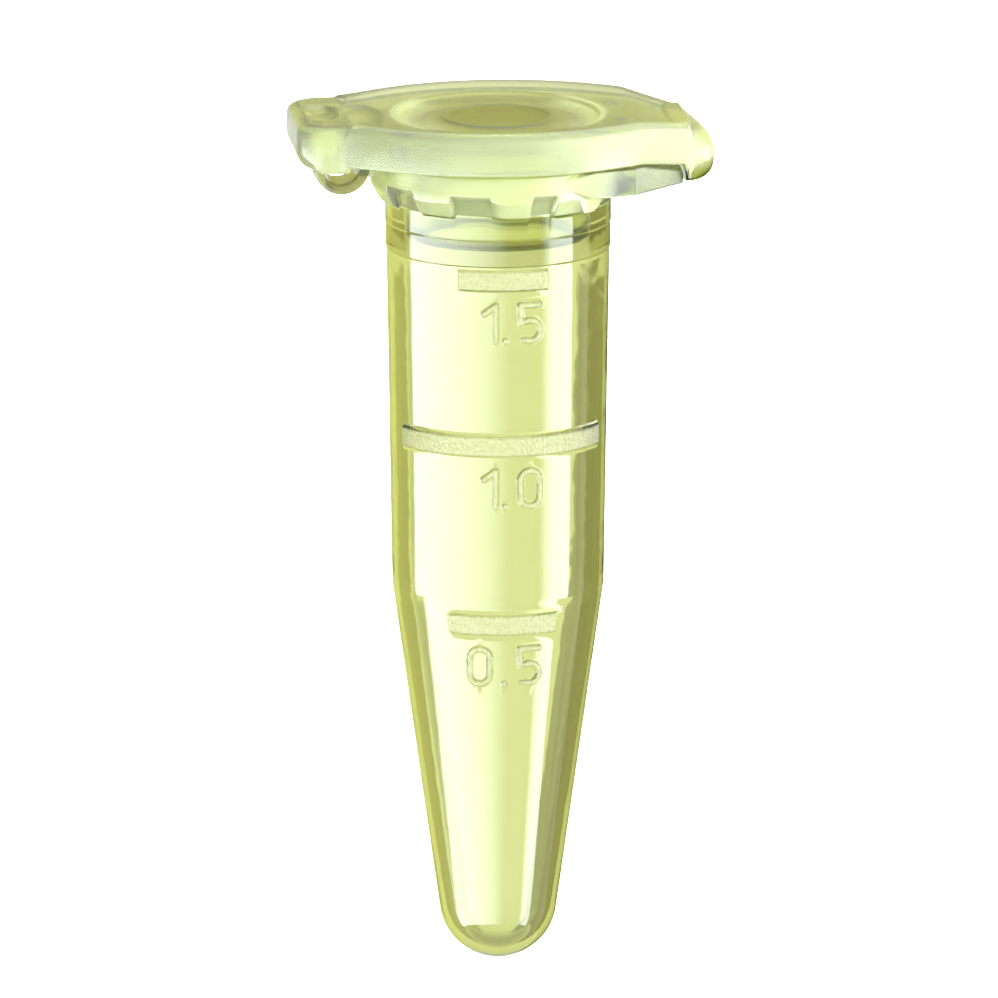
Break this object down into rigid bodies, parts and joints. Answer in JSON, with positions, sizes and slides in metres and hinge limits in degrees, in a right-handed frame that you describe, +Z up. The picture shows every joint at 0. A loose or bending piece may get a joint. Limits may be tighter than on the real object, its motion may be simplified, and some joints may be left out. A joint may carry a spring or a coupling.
{
  "type": "microcentrifuge tube",
  "caption": "Small conical snap-cap tube, translucent plastic, with a hinged lid, sealing plug, castellated collar and raised volume marks.",
  "frame": {"origin": "on the tube's axis, in the plane of the collar's feet, where the tube hangs in a rack", "axes": "+Z up the tube's axis towards the lid, +X from the hinge towards the thumb tab, -Y towards the graduations"},
  "size_m": [0.0204, 0.0132, 0.0418],
  "materials": {
    "tinted_polypropylene": "glossy translucent, pale yellow-green",
    "frosted_polypropylene": "fine spark-eroded texture, pale yellow-green"
  },
  "bodies": {
    "tube": {"barrel": "tinted_polypropylene", "neck": "tinted_polypropylene", "collar": "tinted_polypropylene", "collar_feet": "tinted_polypropylene", "wide_feet": "tinted_polypropylene", "collar_lip": "tinted_polypropylene", "hinge_lug": "tinted_polypropylene", "low_mark": "frosted_polypropylene", "low_number": "frosted_polypropylene", "middle_mark": "frosted_polypropylene", "middle_number": "frosted_polypropylene", "high_mark": "frosted_polypropylene", "high_number": "frosted_polypropylene", "collar_strap": "tinted_polypropylene"},
    "lid": {"lid_strap": "tinted_polypropylene", "lid_plate": "tinted_polypropylene", "lid_rim": "tinted_polypropylene", "centre_ring": "tinted_polypropylene", "thumb_tab": "tinted_polypropylene", "hinge_block": "tinted_polypropylene", "lid_plug": "tinted_polypropylene", "seal_bead": "tinted_polypropylene"}
  },
  "joints": [
    {"name": "lid_hinge", "type": "hinge", "parent": "tube", "child": "lid", "pos_m": [-0.00862, 0, 0.00073], "axis": [0, -1, 0], "range_deg": [0, 170]}
  ]
}
